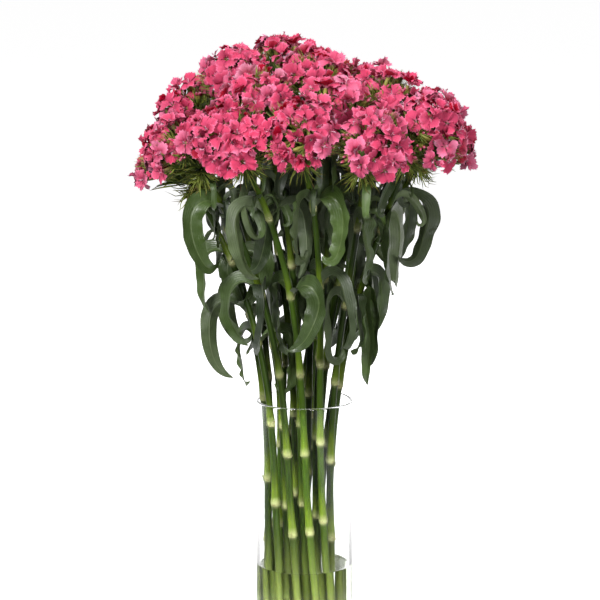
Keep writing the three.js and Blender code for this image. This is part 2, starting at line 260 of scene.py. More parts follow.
class Growth:
    """Gathers the sheets and tubes of one piece, with each one's place on itself and its tint."""

    def __init__(self):
        self.points, self.faces, self.places, self.tints, self.finishes = [], [], [], [], []
        self.count = 0

    def add(self, points, faces, places, tint, finish):
        points = np.reshape(points, (-1, 3))
        self.points.append(points)
        self.faces.extend([[corner + self.count for corner in face] for face in faces])
        self.places.append(np.reshape(places, (-1, 2)))
        self.tints.append(np.broadcast_to(np.asarray(tint, float), (len(points), 4)))
        self.finishes.extend([finish] * len(faces))
        self.count += len(points)

    def add_tube(self, path, radii, sides, tint, finish, flat=1.0):
        """A round tube along a path, closed at both ends. flat below 1 makes it a strap."""
        path = np.asarray(path, float)
        headings = unit(np.gradient(path, axis=0))
        side, _ = square_to(headings[0])
        angles = np.arange(sides) * FULL_TURN / sides
        points, places = [], []
        for k, (centre, heading, radius) in enumerate(zip(path, headings, radii)):
            side = unit(side - heading * np.dot(side, heading))
            face = np.cross(heading, side)
            ring = np.outer(np.cos(angles), side) + np.outer(np.sin(angles) * flat, face)
            points.append(centre + ring * radius)
            places.append(np.stack([angles / FULL_TURN, np.full(sides, k / (len(path) - 1))], 1))
        last = (len(path) - 1) * sides
        ends = [tuple(range(sides))[::-1], tuple(range(last, last + sides))]
        faces = tube_faces(len(path), sides) + ends
        self.add(np.concatenate(points), faces, np.concatenate(places), tint, finish)

    def piece(self, name, materials, slot, *nodes):
        mesh = bpy.data.meshes.new(name)
        mesh.from_pydata(np.concatenate(self.points).tolist(), [], self.faces)
        corners = np.empty(len(mesh.loops), np.int32)
        mesh.loops.foreach_get("vertex_index", corners)
        places = mesh.uv_layers.new(name="place")
        places.data.foreach_set("uv", np.concatenate(self.places)[corners].ravel())
        tint = mesh.color_attributes.new("tint", "FLOAT_COLOR", "POINT")
        tint.data.foreach_set("color", np.concatenate(self.tints).ravel())
        for material in materials:
            mesh.materials.append(material)
        mesh.polygons.foreach_set("material_index", self.finishes)
        mesh.polygons.foreach_set("use_smooth", [True] * len(mesh.polygons))
        mesh.update()
        made = join_scene(name, mesh)
        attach(made, "root")
        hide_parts(*nodes)


# ---- where each head stands and how its stem runs ----
class Stalk:
    """One stem with its head."""

    def __init__(self, number, ring, centre, waist_azimuth):
        self.number = number
        self.ring = ring
        self.label = f"{number:02d}"
        self.centre = centre
        self.azimuth = turn_of(centre)
        self.waist_azimuth = waist_azimuth
        joint_draw, self.leaf_draw, self.draw = [
            draws_from(number * seed) for seed in (JOINT_SEED, LEAF_SEED, GROWTH_SEED)
        ]
        for draw in (joint_draw, self.leaf_draw, self.draw):
            draw()  # the first draws step evenly from one stem to the next
        lean = DOME_TILT * math.hypot(centre.x, centre.y) / mm
        self.axis = polar(math.sin(math.radians(lean)), self.azimuth, math.cos(math.radians(lean)))
        self.top = centre - self.axis * SEAT
        self.joints, self.swells, self.pales = [], [], []
        height = self.top.z - JOINT_BELOW_HEAD - joint_draw() * JOINT_SCATTER
        while height > JOINT_LOWEST:
            self.joints.insert(0, height)
            height -= JOINT_SPACING
        for _ in self.joints:
            self.swells.append(lerp(0.75, 1.2, self.draw()))
            self.pales.append(lerp(0.35, 1, self.draw()))

    def point(self, height):
        """The stem's centre line: drawn together at the waist, then bending out to its head."""
        rise = max(0, (height - WAIST_HEIGHT) / (self.top.z - WAIST_HEIGHT))
        sink = max(0, (WAIST_HEIGHT - height) / (WAIST_HEIGHT - FOOT_HEIGHT))
        waist = WAIST[self.ring] * (1 + FOOT_SPREAD * sink)
        reach = math.hypot(self.top.x, self.top.y)
        radius = waist + (reach - waist) * rise**FLARE
        swing = math.fmod(turn_of(self.top) - self.waist_azimuth + 540, 360) - 180
        turn = self.waist_azimuth + swing * rise - TWIST * (1 - height / self.top.z)
        point = polar(radius, turn, height)
        point.x += WAIST_SHIFT * (1 - rise)
        return point

    def radius(self, height):
        share = (height - FOOT_HEIGHT) / (self.top.z - FOOT_HEIGHT)
        return lerp(STEM_FOOT, STEM_TOP, share)


def lay_out():
    stalks = []
    for ring, places in HEADS.items():
        centres = [Vector(place) * mm for place in places]
        order = sorted(turn_of(centre) for centre in centres)
        count = len(order)
        start = sum(turn - 360 * k / count for k, turn in enumerate(order)) / count
        for centre in centres:
            waist_azimuth = start + 360 * order.index(turn_of(centre)) / count
            stalks.append(Stalk(len(stalks) + 1, ring, centre, waist_azimuth))
    return stalks


# ---- shader nodes ----
def feed(tree, node, **sources):
    """Links or sets a node's inputs. Underscores in a name stand for spaces."""
    for name, source in sources.items():
        give(tree, node.inputs[name.replace("_", " ")], source)


def give(tree, socket, source):
    if isinstance(source, bpy.types.NodeSocket):
        tree.links.new(source, socket)
    else:
        socket.default_value = source


def put(tree, kind, properties=None, **sources):
    """A new node with its properties and its inputs."""
    node = tree.nodes.new(kind)
    for name, value in (properties or {}).items():
        setattr(node, name, value)
    feed(tree, node, **sources)
    return node


def maths(tree, operation, *values):
    node = put(tree, "ShaderNodeMath", {"operation": operation})
    for socket, value in zip(node.inputs, values):
        give(tree, socket, value)
    return node.outputs[0]


def times(tree, one, other):
    return maths(tree, "MULTIPLY", one, other)


def blended(tree, share, low, high):
    """The low colour where the share is 0 and the high one where it is 1."""
    node = put(tree, "ShaderNodeMix", {"data_type": "RGBA"})
    colours = [socket for socket in node.inputs if socket.type == "RGBA"]
    for socket, value in zip([node.inputs[0]] + colours, [share, low, high]):
        give(tree, socket, value)
    return [socket for socket in node.outputs if socket.type == "RGBA"][0]


def ranged(tree, value, start, end, at_start=0.0, at_end=1.0):
    """An eased change from one value to another while the given value runs from start to end."""
    node = put(tree, "ShaderNodeMapRange", {"interpolation_type": "SMOOTHSTEP"})
    feed(tree, node, Value=value, From_Min=start, From_Max=end, To_Min=at_start, To_Max=at_end)
    return node.outputs[0]


def fading(tree, value, start, end, strength=1.0):
    return ranged(tree, value, start, end, strength, 0.0)


def noise(tree, where, **settings):
    return put(tree, "ShaderNodeTexNoise", Vector=where, **settings).outputs["Fac"]


def object_place(tree):
    return put(tree, "ShaderNodeTexCoord").outputs["Object"]


def split(tree, vector):
    """The x, y and z of a vector."""
    return list(put(tree, "ShaderNodeSeparateXYZ", Vector=vector).outputs)


def bump(tree, shader, height, strength, distance):
    node = put(tree, "ShaderNodeBump", Height=height, Strength=strength, Distance=distance)
    feed(tree, shader, Normal=node.outputs[0])


def new_material(name):
    material = bpy.data.materials.new(name)
    material.use_nodes = True
    tree = material.node_tree
    return material, tree, tree.nodes["Principled BSDF"]


def place_and_tint(tree):
    """The place on the sheet, across and along, and the tint's three parts."""
    across, along, _ = split(tree, put(tree, "ShaderNodeUVMap", {"uv_map": "place"}).outputs[0])
    tint = put(tree, "ShaderNodeAttribute", {"attribute_name": "tint"}).outputs["Color"]
    return across, along, *put(tree, "ShaderNodeSeparateColor", Color=tint).outputs


def new_group(name, inputs, output_kinds):
    """A shader node group. Its inputs are given as name: value, its outputs as name: kind."""
    tree = bpy.data.node_groups.new(name, "ShaderNodeTree")
    for socket, value in inputs.items():
        kind = "NodeSocketColor" if isinstance(value, tuple) else "NodeSocketFloat"
        tree.interface.new_socket(name=socket, in_out="INPUT", socket_type=kind).default_value = value
    for socket, kind in output_kinds.items():
        tree.interface.new_socket(name=socket, in_out="OUTPUT", socket_type=kind)
    return tree, tree.nodes.new("NodeGroupInput").outputs, tree.nodes.new("NodeGroupOutput")


def mottle_group():
    """Soft blotches of a lighter and a darker tone, as on living tissue."""
    tree, given, out = new_group(
        "mottle",
        {"Colour": (1, 1, 1, 1), "Scale": 60, "Strength": 0.3},
        {"Colour": "NodeSocketColor", "Mask": "NodeSocketFloat"},
    )
    cloud = noise(tree, object_place(tree), Scale=given["Scale"], Detail=3.0, Roughness=0.6)
    mask = ranged(tree, cloud, 0.3, 0.7)
    dark = put(tree, "ShaderNodeHueSaturation", Saturation=1.05, Value=0.62, Color=given["Colour"])
    light = put(tree, "ShaderNodeHueSaturation", Saturation=0.95, Value=1.25, Color=given["Colour"])
    blotched = blended(tree, mask, dark.outputs[0], light.outputs[0])
    feed(tree, out, Colour=blended(tree, given["Strength"], given["Colour"], blotched), Mask=mask)
    return tree


def veins_group():
    """Fine lines that run along a leaf or fan out over a petal."""
    tree, given, out = new_group(
        "veins",
        {"Across": 0.5, "Along": 0.5, "Count": 9, "Wander": 0.3},
        {"Mask": "NodeSocketFloat"},
    )
    place = put(tree, "ShaderNodeCombineXYZ", X=given["Across"], Y=given["Along"]).outputs[0]
    off_middle = maths(tree, "SUBTRACT", noise(tree, place, Scale=6.0, Detail=2.0), 0.5)
    bend = times(tree, off_middle, given["Wander"])
    wave = maths(tree, "FRACT", maths(tree, "ADD", times(tree, given["Across"], given["Count"]), bend))
    from_line = maths(tree, "ABSOLUTE", maths(tree, "SUBTRACT", wave, 0.5))
    feed(tree, out, Mask=fading(tree, from_line, 0.0, 0.16))
    return tree


MOTTLE = mottle_group()
VEINS = veins_group()


def mottled(tree, source, scale, strength):
    """(the colour with blotches, the blotches' mask)"""
    node = put(tree, "ShaderNodeGroup", {"node_tree": MOTTLE}, Colour=source, Scale=scale, Strength=strength)
    return node.outputs["Colour"], node.outputs["Mask"]


def veined(tree, across, along, count, wander):
    node = put(tree, "ShaderNodeGroup", {"node_tree": VEINS}, Across=across, Along=along)
    feed(tree, node, Count=count, Wander=wander)
    return node.outputs["Mask"]


def streaked(tree, across, along, scale):
    """A mask of long soft streaks that run up a stem."""
    around = times(tree, across, FULL_TURN)
    x, y = maths(tree, "COSINE", around), maths(tree, "SINE", around)
    place = put(tree, "ShaderNodeCombineXYZ", X=x, Y=y, Z=times(tree, along, 1.5)).outputs[0]
    return ranged(tree, noise(tree, place, Scale=scale, Detail=3.0), 0.42, 0.62)


# ---- finishes ----
def colour(red, green, blue):
    """A colour from 0 to 255, as the shader wants it."""

    def linear(part):
        part = part / 255
        return part / 12.92 if part <= 0.04045 else ((part + 0.055) / 1.055) ** 2.4

    return (linear(red), linear(green), linear(blue), 1)


ROSE_RED, ROSE_PALE = colour(194, 1, 40), colour(255, 196, 230)
ROSE_SHADE = colour(180, 10, 54)
ROSE_THROAT_SHADE = colour(138, 0, 34)
ROSE_LINES = colour(158, 12, 58)
ROSE_RIM_HIGHLIGHT = colour(252, 168, 206)
ROSE_BACK = colour(240, 96, 140)
EYE_PALE, EYE_LINES = colour(222, 168, 186), colour(120, 40, 66)
THREAD_PINK, ANTHER_BLUE = colour(246, 196, 214), colour(126, 112, 138)
STEM_DARK, STEM_LIGHT = colour(8, 18, 2), colour(64, 90, 20)
STEM_STREAK, STEM_DARK_STREAK = colour(92, 120, 40), colour(40, 62, 14)
STEM_FRESH, STEM_BAND, STEM_SCAR = colour(128, 152, 44), colour(196, 198, 144), colour(128, 108, 62)
BRACT_DARK, BRACT_LIGHT, BRACT_TIP = colour(58, 86, 20), colour(176, 190, 84), colour(140, 66, 52)


def petal_material():
    """Deep to pale pink, with painted shade that darkens its heart, a painted highlight that pales its rim
    and a lined eye, and paler behind.
    The tint's first part is the floret's pink, darkened as painted shade for florets deep in their head, the
    second the petal's own tone."""
    material, tree, shader = new_material("petal")
    across, along, hue_and_depth_shade, tone, _ = place_and_tint(tree)
    rose = blended(tree, hue_and_depth_shade, ROSE_RED, ROSE_PALE)
    rose = blended(tree, ranged(tree, tone, 0.0, 1.0, 0.0, 0.4), rose, ROSE_SHADE)
    rose, _ = mottled(tree, rose, scale=260, strength=0.35)
    lines = veined(tree, across, along, count=11, wander=0.5)
    # Painted shade: darker towards the throat.
    rose = blended(tree, fading(tree, along, 0.2, 0.92, 0.85), rose, ROSE_THROAT_SHADE)
    line_strength = times(tree, lines, ranged(tree, along, 0.3, 0.95, 0.5, 0.12))
    rose = blended(tree, line_strength, rose, ROSE_LINES)
    # Painted highlight: paler towards the rim.
    rose = blended(tree, ranged(tree, along, 0.78, 1.0, 0.0, 0.5), rose, ROSE_RIM_HIGHLIGHT)
    eye = blended(tree, lines, EYE_PALE, EYE_LINES)
    rose = blended(tree, times(tree, fading(tree, along, 0.1, 0.27), 0.45), rose, eye)
    behind = put(tree, "ShaderNodeNewGeometry").outputs["Backfacing"]
    rose = blended(tree, times(tree, behind, 0.5), rose, ROSE_BACK)
    feed(tree, shader, Base_Color=rose, Roughness=0.52, Specular_IOR_Level=0.06)
    bump(tree, shader, lines, strength=0.6, distance=0.5 * mm)
    return material


def throat_material():
    """Stamens and styles: pale pink threads with grey-blue anthers."""
    material, tree, shader = new_material("stamens")
    _, along, *_ = place_and_tint(tree)
    shade = blended(tree, ranged(tree, along, 0.7, 0.9), THREAD_PINK, ANTHER_BLUE)
    shade, _ = mottled(tree, shade, scale=400, strength=0.2)
    feed(tree, shader, Base_Color=shade, Roughness=0.6)
    return material


def leaf_material(name, dark, light, rib, gloss):
    """Across runs from margin to margin, along from root to tip. The tint's first part is the
    leaf's own tone."""
    material, tree, shader = new_material(name)
    across, along, tone, *_ = place_and_tint(tree)
    green, mask = mottled(tree, blended(tree, tone, dark, light), scale=60, strength=0.7)
    lines = veined(tree, across, along, count=10, wander=0.25)
    green = blended(tree, times(tree, lines, 0.2), green, light)
    off_rib = maths(tree, "ABSOLUTE", maths(tree, "SUBTRACT", across, 0.5))
    green = blended(tree, fading(tree, off_rib, 0.006, 0.03, 0.4), green, rib)
    green = blended(tree, fading(tree, along, 0.0, 0.12, 0.6), green, rib)
    roughness = ranged(tree, mask, 0.0, 1.0, gloss, gloss + 0.14)
    feed(tree, shader, Base_Color=green, Roughness=roughness, Specular_IOR_Level=0.85)
    bump(tree, shader, maths(tree, "ADD", lines, mask), strength=0.5, distance=0.5 * mm)
    return material


def stem_material():
    """Deep green with lengthwise streaks. The tint's first part is 1 at a joint's pale band, the
    second the fresh green above it, and the third the stem's own tone."""
    material, tree, shader = new_material("stem")
    across, along, band, fresh, tone = place_and_tint(tree)
    green, mask = mottled(tree, blended(tree, tone, STEM_DARK, STEM_LIGHT), scale=70, strength=0.3)
    green = blended(tree, times(tree, streaked(tree, across, along, 1.75), 0.22), green, STEM_STREAK)
    green = blended(tree, times(tree, fresh, 0.74), green, STEM_FRESH)
    green = blended(tree, times(tree, streaked(tree, across, along, 3.25), 0.3), green, STEM_DARK_STREAK)
    green = blended(tree, band, green, STEM_BAND)
    _, spots = mottled(tree, green, scale=420, strength=0.2)
    scars = times(tree, ranged(tree, spots, 0.5, 0.9), times(tree, band, 0.7))
    green = blended(tree, scars, green, STEM_SCAR)
    roughness = ranged(tree, mask, 0.0, 1.0, 0.32, 0.46)
    feed(tree, shader, Base_Color=green, Roughness=roughness, Specular_IOR_Level=0.28)
    bump(tree, shader, veined(tree, across, along, count=18, wander=0.1), strength=0.2, distance=0.2 * mm)
    return material


def bract_material():
    """Grass green needles and calyces, reddish brown towards some of the tips. The tint's first part
    is the needle's tone, the second how red its tip is."""
    material, tree, shader = new_material("bract")
    across, along, tone, red, _ = place_and_tint(tree)
    green, mask = mottled(tree, blended(tree, tone, BRACT_DARK, BRACT_LIGHT), scale=220, strength=0.3)
    green = blended(tree, times(tree, ranged(tree, along, 0.45, 1.0), red), green, BRACT_TIP)
    feed(tree, shader, Base_Color=green, Roughness=ranged(tree, mask, 0.0, 1.0, 0.5, 0.65))
    bump(tree, shader, veined(tree, across, along, count=6, wander=0.1), strength=0.2, distance=0.2 * mm)
    return material


def clear_material(name, tone, ior, roughness):
    """Lamps reach what stands in it, and light that stays caught in a wall goes straight on."""
    material, tree, shader = new_material(name)
    feed(tree, shader, Base_Color=tone, Roughness=roughness, IOR=ior, Transmission_Weight=1)
    path = put(tree, "ShaderNodeLightPath")
    caught = maths(tree, "GREATER_THAN", path.outputs["Ray Depth"], 5.5)
    straight_on = maths(tree, "MAXIMUM", path.outputs["Is Shadow Ray"], caught)
    mixed = put(tree, "ShaderNodeMixShader", Fac=straight_on)
    tree.links.new(shader.outputs[0], mixed.inputs[1])
    tree.links.new(put(tree, "ShaderNodeBsdfTransparent").outputs[0], mixed.inputs[2])
    feed(tree, tree.nodes["Material Output"], Surface=mixed.outputs[0])
    return material, tree, shader


def glass_material():
    """Clear glass, a touch cool, with faint wipe marks that only the gloss shows."""
    material, tree, shader = clear_material("vase_glass", (0.985, 0.995, 0.99, 1), 1.47, 0.0)
    smear = noise(tree, object_place(tree), Scale=18.0, Detail=4.0)
    feed(tree, shader, Roughness=ranged(tree, smear, 0.5, 0.75, 0.006, 0.02))
    return material


def water_material():
    """Water with a slow ripple on its surface."""
    material, tree, shader = clear_material("vase_water", (0.975, 0.985, 0.9, 1), 1.333, 0.006)
    ripple = noise(tree, object_place(tree), Scale=30.0, Detail=1.0)
    bump(tree, shader, ripple, strength=0.08, distance=1 * mm)
    return material


PETAL = petal_material()
STAMENS = throat_material()
LEAF = leaf_material("leaf", colour(16, 32, 9), colour(80, 104, 44), colour(130, 146, 96), gloss=0.34)
UNDERLEAF = leaf_material(
    "leaf_underside", colour(28, 42, 18), colour(92, 110, 62), colour(128, 140, 100), gloss=0.44
)
STEM = stem_material()
BRACT = bract_material()
GLASS = glass_material()
WATER = water_material()
STEM_FINISH, LEAF_FINISH, UNDER_FINISH, BRACT_FINISH, BUD_FINISH = range(5)
GREENERY = [STEM, LEAF, UNDERLEAF, BRACT, PETAL]
PETAL_FINISH, STAMEN_FINISH = range(2)
BLOOM = [PETAL, STAMENS]


# ---- vase and water ----
def with_edges(profile):
    """The profile with a point close to either end of each long stretch, to keep its corners crisp."""
    eased = [profile[0]]
    for low, high in zip(profile, profile[1:]):
        low, high = np.array(low, float), np.array(high, float)
        length = np.linalg.norm(high - low)
        if length > 6 * CRISP_RUN:
            step = (high - low) / length * CRISP_RUN
            eased += [tuple(low + step), tuple(high - step)]
        eased.append(tuple(high))
    return eased


def lathe(name, profile, material, slot, node):
    """A closed turned body. The profile runs from the middle of the foot, outside first."""
    growth = Growth()
    rings, sides = with_edges(profile), LATHE_SIDES
    angles = np.arange(sides) * FULL_TURN / sides
    points = []
    for radius, height in rings[1:-1]:
        points.append(np.stack([radius * np.cos(angles), radius * np.sin(angles), np.full(sides, height)], 1))
    points = np.concatenate(points + [[(0, 0, rings[0][1])], [(0, 0, rings[-1][1])]])
    faces = tube_faces(len(rings) - 2, sides)
    foot, end = len(points) - 2, len(points) - 1
    last = (len(rings) - 3) * sides
    for side in range(sides):
        after = (side + 1) % sides
        faces += [(foot, after, side), (end, last + side, last + after)]
    growth.add(points, faces, np.zeros((len(points), 2)), (0, 0, 0, 1), 0)
    growth.piece(name, [material], slot, node)


def rounded(corner_radius, corner_z, radius, start, end, steps=6):
    """Points of an arc round a corner, in degrees from outwards."""
    turns = np.radians(np.linspace(start, end, steps))
    return [(corner_radius + radius * math.cos(turn), corner_z + radius * math.sin(turn)) for turn in turns]


def make_vase():
    inner = VASE_RADIUS - VASE_WALL
    lip = VASE_WALL / 2
    profile = [(0, 0), (VASE_RADIUS - 6 * mm, 0)]
    profile += rounded(VASE_RADIUS - VASE_EDGE, VASE_EDGE, VASE_EDGE, -90, 0)
    profile += [(VASE_RADIUS, VASE_HEIGHT * share) for share in (0.25, 0.5, 0.75)]
    profile += rounded(VASE_RADIUS - lip, VASE_HEIGHT - lip, lip, 0, 180, 11)
    profile += [(inner, VASE_HEIGHT * share) for share in (0.75, 0.5, 0.25)]
    profile += rounded(inner - FLOOR_FILLET, VASE_FLOOR + FLOOR_FILLET, FLOOR_FILLET, 0, -90)
    profile += [(inner - 12 * mm, VASE_FLOOR), (0, VASE_FLOOR)]
    lathe("vase_glass", profile, GLASS, "glass", "vase")


def make_water():
    """The water reaches a hair into the glass, so that no air lies between, and creeps up it."""
    edge = VASE_RADIUS - VASE_WALL + 0.15 * mm
    foot = VASE_FLOOR - 0.1 * mm
    profile = [(0, foot), (edge - FLOOR_FILLET, foot)]
    profile += rounded(edge - FLOOR_FILLET, foot + FLOOR_FILLET, FLOOR_FILLET, -80, 0)
    profile += [(edge, WATER_LEVEL * 0.5), (edge, WATER_LEVEL + WATER_CREEP)]
    for share in (0.12, 0.3, 0.55, 1.0):
        away = share * 7 * mm
        profile.append((edge - away, WATER_LEVEL + WATER_CREEP * math.exp(-away / CREEP_FADE)))
    profile += [(edge - 20 * mm, WATER_LEVEL), (0, WATER_LEVEL)]
    lathe("vase_water", profile, WATER, "water", "water")


# ---- stems ----
def stem_rings(stalk):
    """Heights and radii along the stem, closer together at the joints."""
    shares = {}
    for joint, swell in zip(stalk.joints, stalk.swells):
        for above, share in JOINT_PROFILE:
            shares[joint + above * mm] = 1 + (share - 1) * swell
    heights = sorted(shares)
    neck = stalk.top.z - STEM_NECK
    filled = []
    for low, high in zip([FOOT_HEIGHT] + heights, heights + [neck]):
        steps = max(1, round((high - low) / STEM_STEP))
        filled += [lerp(low, high, k / steps) for k in range(steps)]
    filled.append(neck)
    return [(height, stalk.radius(height) * shares.get(height, 1.0)) for height in filled]


def joint_tints(stalk, height, tone):
    """(pale band, fresh green, tone) at a height of the stem."""
    band, fresh = 0.0, 0.0
    for joint, pale in zip(stalk.joints, stalk.pales):
        above = (height - joint) / mm
        band = max(band, pale * float(smooth(-3, -0.5, above) * (1 - smooth(2, 7, above))))
        reach = 20 + 26 * pale
        strength = 0.25 + 0.75 * pale
        fresh = max(fresh, strength * float(smooth(-2, 2, above) * (1 - smooth(6, reach, above))))
    # Paler and fresher green towards the foot.
    pale_foot = float(1 - smooth(*PALE_FOOT, height))
    band = max(band, 0.22 * pale_foot * stalk.pales[0])
    return (band * PALEST_BAND, max(fresh, 0.95 * pale_foot), tone, 1)


def add_stem(growth, stalk):
    rings = stem_rings(stalk)
    path = [np.array(stalk.point(height)) for height, _ in rings]
    path += [np.array(stalk.top - stalk.axis * 4 * mm), np.array(stalk.top + stalk.axis * 1 * mm)]
    radii = [radius for _, radius in rings] + [STEM_TOP * 1.1, STEM_TOP * 1.5]
    heights = [height for height, _ in rings] + [stalk.top.z, stalk.top.z]
    tone = stalk.draw() ** 1.8
    tints = np.repeat([joint_tints(stalk, height, tone) for height in heights], STEM_SIDES, axis=0)
    growth.add_tube(path, radii, STEM_SIDES, tints, STEM_FINISH)
    for k, joint in enumerate(stalk.joints):
        for half in range(2):
            if stalk.draw() < SHEATHED:
                turn = stalk.azimuth + 90 * k + 180 * half + 40 * stalk.draw()
                add_sheath(growth, stalk, joint, turn)


def add_sheath(growth, stalk, joint, turn):
    """The torn base of a stripped leaf: a small pointed scale that clasps the joint."""
    draw = stalk.draw
    centre = np.array(stalk.point(joint))
    radius, tall = stalk.radius(joint) * 1.3, lerp(3, 8, draw()) * mm
    lean, width = lerp(0.1, 1.6, draw()) * mm, lerp(38, 70, draw())
    rows, columns = SHEATH_GRID
    across, up = np.meshgrid(np.linspace(-1, 1, columns), np.linspace(0, 1, rows))
    out = radius + 0.15 * mm + lean * up**2
    angle = np.radians(turn + across * width * (1 - 0.75 * up))
    rise = -1.5 * mm + up * tall * (1 - 0.25 * across**2)
    points = centre + np.stack([out * np.cos(angle), out * np.sin(angle), rise], -1)
    tint = (lerp(0.4, 1, draw()), 0.4, draw(), 1)
    growth.add(points, grid_faces(rows, columns), np.stack([across / 2 + 0.5, up], -1), tint, STEM_FINISH)


# ---- leaves ----
def leaf_frame(shape, t):
    """(heading, side, face) of a leaf at a share t of its length."""
    arch = (shape["hang"] - LEAF_RISE) * smooth(0, LEAF_TURN_END, t)
    lean = math.radians(LEAF_RISE + arch + shape["bend"] * t**2 + shape["curl"] * smooth(0.72, 1, t) ** 1.5)
    out = polar(1, shape["azimuth"] + shape["sway"] * t, 0)
    heading = out * math.sin(lean) + UP * math.cos(lean)
    face = out * -math.cos(lean) + UP * math.sin(lean)
    side = heading.cross(face)
    roll = math.radians(shape["roll"] * smooth(0, 0.45, t))
    turned = side * math.cos(roll) + face * math.sin(roll)
    top = face * math.cos(roll) - side * math.sin(roll)
    return heading, turned, top


def leaf_path(root, shape):
    """The leaf's middle line, at twice as many points as it has steps."""
    step = shape["length"] / LEAF_STEPS
    point = root.copy()
    path = [point.copy()]
    for k in range(LEAF_STEPS):
        heading, _, _ = leaf_frame(shape, k / LEAF_STEPS)
        after, _, _ = leaf_frame(shape, (k + 1) / LEAF_STEPS)
        end = point + heading * step
        path += [(point + end) / 2 + (heading - after) * step / 16, end]
        point = end
    return path


def leaf_shape(stalk, level, half):
    """Lengths in metres and turns in degrees."""
    draw = stalk.leaf_draw

    def scatter(size):
        return (draw() * 2 - 1) * size

    shape = {"azimuth": stalk.azimuth + LEAF_ASIDE + level * 90 + half * 180 + scatter(20)}
    shape["length"] = LEAF_LENGTH + scatter(LEAF_LENGTH_SCATTER)
    shape["half_width"] = LEAF_HALF_WIDTH + scatter(LEAF_WIDTH_SCATTER)
    shape["hang"] = 165 + scatter(14)
    shape["bend"] = 35 + draw() * 60
    shape["curl"] = 60 + draw() * 86 if draw() < 0.55 else draw() * 25
    shape["sway"] = scatter(38)
    side = -1 if draw() < 0.5 else 1
    shape["roll"] = side * (45 + 55 * draw())
    return shape


def grown_leaf(root, shape, corners):
    """The shape turned and shortened as the part's own leaf is: its tip, or the crest half way
    along it, is a corner of the part."""
    best = (LEAF_MATCH, None)
    for share in LEAF_LENGTHS:
        for turn in LEAF_TURNS:
            bent = dict(shape, azimuth=shape["azimuth"] + turn, length=shape["length"] * share)
            path = leaf_path(root, bent)
            _, _, face = leaf_frame(bent, 0.5)
            marks = np.array([path[-1], path[LEAF_STEPS] + face * LEAF_CREST])
            away = np.linalg.norm(corners - marks[:, None], axis=2).min()
            if away < best[0]:
                best = (away, bent)
    return best[1]


def leaf_half_width(t):
    """The half width at a share t of the length, where the widest is 1."""
    t = min(t, 0.995)
    return max(float((0.34 + 0.66 * smooth(0, 0.28, t)) * (1 - t**4.2) ** 0.78), 0.03)


def add_leaf(growth, root, shape, draw, across=LEAF_ACROSS, stride=1):
    """A folded blade with a grooved rib, waved margins and a slow buckle, as two sheets."""
    path = leaf_path(root, shape)[::stride]
    phase, waves, lift = draw() * 6.3, 1.6 + 2 * draw(), (0.6 + 1.6 * draw()) * mm
    buckle, bumps = (0.5 + 1.5 * draw()) * mm, 1.2 + 1.4 * draw()
    lift, buckle = [size * shape["half_width"] / LEAF_HALF_WIDTH for size in (lift, buckle)]
    slim = lerp(0.74, 1.08, draw())
    rows, columns = len(path), len(across)
    upper, lower, places = [], [], []
    for k, centre in enumerate(path):
        t = k / (rows - 1)
        _, side, face = leaf_frame(shape, t)
        half = slim * shape["half_width"] * leaf_half_width(t)
        fold = half * 0.62 * (1 - 0.55 * t) * np.abs(across) ** 1.2
        groove = -RIB_GROOVE * np.exp(-((across / 0.1) ** 2)) * (1 - t)
        wave = math.sin(waves * math.pi * t * 2 + phase)
        wave = wave + 0.6 * math.sin(waves * math.pi * t * 4.6 + 2 * phase) * across
        free = float(smooth(0.1, 0.4, t))
        margin = lift * across * np.abs(across) * wave * free
        height = fold + groove + margin + buckle * math.sin(bumps * math.pi * t * 2 + phase) * free
        rib = RIB_DEPTH * np.exp(-((across / 0.12) ** 2)) * (1 - 0.75 * t)
        thick = LEAF_SHEET * (1 - across**4) + rib
        thick[0] = thick[-1] = LEAF_MARGIN
        middle, side, face = np.array(centre), np.array(side), np.array(face)
        upper.append(middle + np.outer(across * half, side) + np.outer(height, face))
        lower.append(middle + np.outer(across * half, side) + np.outer(height - thick, face))
        places.append(np.stack([across / 2 + 0.5, np.full(columns, t)], 1))
    tint = (draw(), draw(), 0, 1)
    growth.add(upper, grid_faces(rows, columns), places, tint, LEAF_FINISH)
    growth.add(lower, grid_faces(rows, columns, True), places, tint, UNDER_FINISH)


def add_young_leaves(growth, stalk):
    """Narrow young leaves that curl between the last pair and the head."""
    draw = stalk.draw
    for _ in range(YOUNG_LEAVES):
        height = lerp(stalk.joints[-1], stalk.top.z, 0.05 + 0.7 * draw())
        size = draw()
        shape = {"azimuth": draw() * 360}
        shape.update(length=lerp(34, 78, size) * mm, half_width=lerp(2.4, 7, size) * mm)
        shape.update(hang=110 + 60 * draw(), bend=20 + 90 * draw(), curl=60 + 150 * draw())
        shape.update(sway=(draw() * 2 - 1) * 60, roll=(draw() * 2 - 1) * 90)
        add_leaf(growth, stalk.point(height), shape, draw, YOUNG_ACROSS, 2)


def add_leaves(growth, stalk):
    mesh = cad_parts[f"leafy_stem_{stalk.label}"].data
    corners = np.array([vertex.co for vertex in mesh.vertices], float)
    leafy = [height for height in stalk.joints if height > LEAF_LOWEST][-LEAF_PAIRS:]
    for level, height in enumerate(leafy):
        for half in range(2):
            root = stalk.point(height)
            shape = grown_leaf(root, leaf_shape(stalk, level, half), corners)
            if shape:
                add_leaf(growth, root, shape, stalk.draw)


# ---- where the florets stand ----
def head_room(centres, own, points):
    """How far each point lies inside its own head's space."""
    room = np.full(len(points), np.inf)
    for other in range(len(centres)):
        across = centres[other] - centres[own]
        distance = np.linalg.norm(across, axis=1)
        middle = (centres[other] + centres[own]) / 2
        with np.errstate(invalid="ignore", divide="ignore"):
            inside = ((middle - points) * across).sum(1) / distance
        room = np.where(own == other, room, np.minimum(room, inside))
    return room


